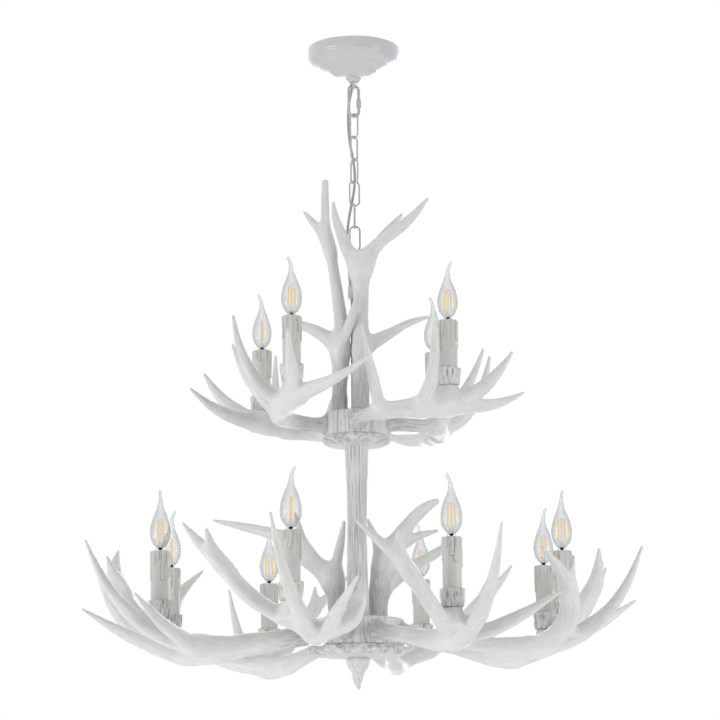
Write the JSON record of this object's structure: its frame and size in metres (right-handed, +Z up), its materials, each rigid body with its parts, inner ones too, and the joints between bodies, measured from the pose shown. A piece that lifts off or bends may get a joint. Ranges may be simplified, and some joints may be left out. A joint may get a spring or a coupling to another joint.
{
  "type": "chandelier",
  "caption": "Two-tier white antler chandelier with candle lights, standing antlers, chain, cord and round ceiling canopy.",
  "frame": {"origin": "middle of the canopy rim, in the ceiling plane", "axes": "+Z up into the ceiling, -Y towards the viewer, +X to the viewer's right"},
  "size_m": [0.9187, 0.921, 1.0962],
  "materials": {
    "ceiling_white": "satin white paint",
    "bar_steel": "zinc plated",
    "grommet_rubber": "matt",
    "chain_steel": "pale grey-white lacquer",
    "cord": "matt pale grey",
    "white_resin": "matt white paint over cast grain",
    "candle_white": "satin",
    "holder_plastic": "matt",
    "screw_steel": "zinc plated",
    "bulb_glass": "clear"
  },
  "bodies": {
    "ceiling": {"canopy": "ceiling_white", "canopy_bell": "ceiling_white", "crossbar": "bar_steel", "canopy_nipple": "bar_steel", "nipple_nuts": "bar_steel", "cord_grommet": "grommet_rubber", "canopy_loop": "chain_steel", "supply_cord": "cord"},
    "quick_link": {"quick_link": "chain_steel"},
    "quick_link_sleeve": {"quick_link_sleeve": "chain_steel"},
    "chain_link_1": {"chain_link_1": "chain_steel"},
    "chain_link_2": {"chain_link_2": "chain_steel"},
    "chain_link_3": {"chain_link_3": "chain_steel"},
    "chain_link_4": {"chain_link_4": "chain_steel"},
    "chain_link_5": {"chain_link_5": "chain_steel"},
    "chain_link_6": {"chain_link_6": "chain_steel"},
    "light": {"top_ring": "chain_steel", "centre_tube": "chain_steel", "upper_hub": "white_resin", "upper_plate": "white_resin", "trunk": "white_resin", "lower_hub": "white_resin", "lower_plate": "white_resin", "finial": "white_resin", "candle_cups": "white_resin", "lower_antler_1": "white_resin", "lower_antler_2": "white_resin", "lower_antler_3": "white_resin", "lower_antler_4": "white_resin", "lower_antler_5": "white_resin", "lower_antler_6": "white_resin", "lower_antler_7": "white_resin", "lower_antler_8": "white_resin", "upper_antler_1": "white_resin", "upper_antler_2": "white_resin", "upper_antler_3": "white_resin", "upper_antler_4": "white_resin", "upper_left_upright": "white_resin", "upper_right_upright": "white_resin", "lower_left_upright": "white_resin", "lower_right_upright": "white_resin", "candle_sleeves": "candle_white", "lamp_holders": "holder_plastic", "candle_nipples": "screw_steel", "antler_screws": "screw_steel"},
    "bulb_1": {"bulb_1": "bulb_glass"},
    "bulb_2": {"bulb_2": "bulb_glass"},
    "bulb_3": {"bulb_3": "bulb_glass"},
    "bulb_4": {"bulb_4": "bulb_glass"},
    "bulb_5": {"bulb_5": "bulb_glass"},
    "bulb_6": {"bulb_6": "bulb_glass"},
    "bulb_7": {"bulb_7": "bulb_glass"},
    "bulb_8": {"bulb_8": "bulb_glass"},
    "bulb_9": {"bulb_9": "bulb_glass"},
    "bulb_10": {"bulb_10": "bulb_glass"},
    "bulb_11": {"bulb_11": "bulb_glass"},
    "bulb_12": {"bulb_12": "bulb_glass"}
  },
  "joints": [
    {"name": "quick_link_swing", "type": "hinge", "parent": "ceiling", "child": "quick_link", "pos_m": [0, 0, -0.0692], "axis": [0, 1, 0], "range_deg": [-8, 8], "deforming": ["supply_cord"]},
    {"name": "chain_link_1_swing", "type": "hinge", "parent": "quick_link", "child": "chain_link_1", "pos_m": [0, 0, -0.1192], "axis": [0.9397, 0.342, 0], "range_deg": [-8, 8]},
    {"name": "chain_link_2_swing", "type": "hinge", "parent": "chain_link_1", "child": "chain_link_2", "pos_m": [0, 0, -0.1579], "axis": [0.7431, -0.6691, 0], "range_deg": [-8, 8]},
    {"name": "chain_link_3_swing", "type": "hinge", "parent": "chain_link_2", "child": "chain_link_3", "pos_m": [0, 0, -0.1976], "axis": [0.6157, 0.788, 0], "range_deg": [-8, 8]},
    {"name": "chain_link_4_swing", "type": "hinge", "parent": "chain_link_3", "child": "chain_link_4", "pos_m": [0, 0, -0.2373], "axis": [0.6691, -0.7431, 0], "range_deg": [-8, 8]},
    {"name": "chain_link_5_swing", "type": "hinge", "parent": "chain_link_4", "child": "chain_link_5", "pos_m": [0, 0, -0.277], "axis": [0.9511, 0.309, 0], "range_deg": [-8, 8]},
    {"name": "chain_link_6_swing", "type": "hinge", "parent": "chain_link_5", "child": "chain_link_6", "pos_m": [0, 0, -0.3167], "axis": [0.0349, 0.9994, 0], "range_deg": [-8, 8]},
    {"name": "light_swing", "type": "hinge", "parent": "chain_link_6", "child": "light", "pos_m": [0, 0, -0.3564], "axis": [1, 0, 0], "range_deg": [-8, 8]},
    {"name": "quick_link_sleeve_slide", "type": "slide", "parent": "quick_link", "child": "quick_link_sleeve", "axis": [0, 0, -1], "range_m": [0, 0.0075]},
    {"name": "bulb_1_unscrew", "type": "slide", "parent": "light", "child": "bulb_1", "axis": [0, 0, 1], "range_m": [0, 0.03]},
    {"name": "bulb_2_unscrew", "type": "slide", "parent": "light", "child": "bulb_2", "axis": [0, 0, 1], "range_m": [0, 0.03]},
    {"name": "bulb_3_unscrew", "type": "slide", "parent": "light", "child": "bulb_3", "axis": [0, 0, 1], "range_m": [0, 0.03]},
    {"name": "bulb_4_unscrew", "type": "slide", "parent": "light", "child": "bulb_4", "axis": [0, 0, 1], "range_m": [0, 0.03]},
    {"name": "bulb_5_unscrew", "type": "slide", "parent": "light", "child": "bulb_5", "axis": [0, 0, 1], "range_m": [0, 0.03]},
    {"name": "bulb_6_unscrew", "type": "slide", "parent": "light", "child": "bulb_6", "axis": [0, 0, 1], "range_m": [0, 0.03]},
    {"name": "bulb_7_unscrew", "type": "slide", "parent": "light", "child": "bulb_7", "axis": [0, 0, 1], "range_m": [0, 0.03]},
    {"name": "bulb_8_unscrew", "type": "slide", "parent": "light", "child": "bulb_8", "axis": [0, 0, 1], "range_m": [0, 0.03]},
    {"name": "bulb_9_unscrew", "type": "slide", "parent": "light", "child": "bulb_9", "axis": [0, 0, 1], "range_m": [0, 0.03]},
    {"name": "bulb_10_unscrew", "type": "slide", "parent": "light", "child": "bulb_10", "axis": [0, 0, 1], "range_m": [0, 0.03]},
    {"name": "bulb_11_unscrew", "type": "slide", "parent": "light", "child": "bulb_11", "axis": [0, 0, 1], "range_m": [0, 0.03]},
    {"name": "bulb_12_unscrew", "type": "slide", "parent": "light", "child": "bulb_12", "axis": [0, 0, 1], "range_m": [0, 0.03]}
  ]
}
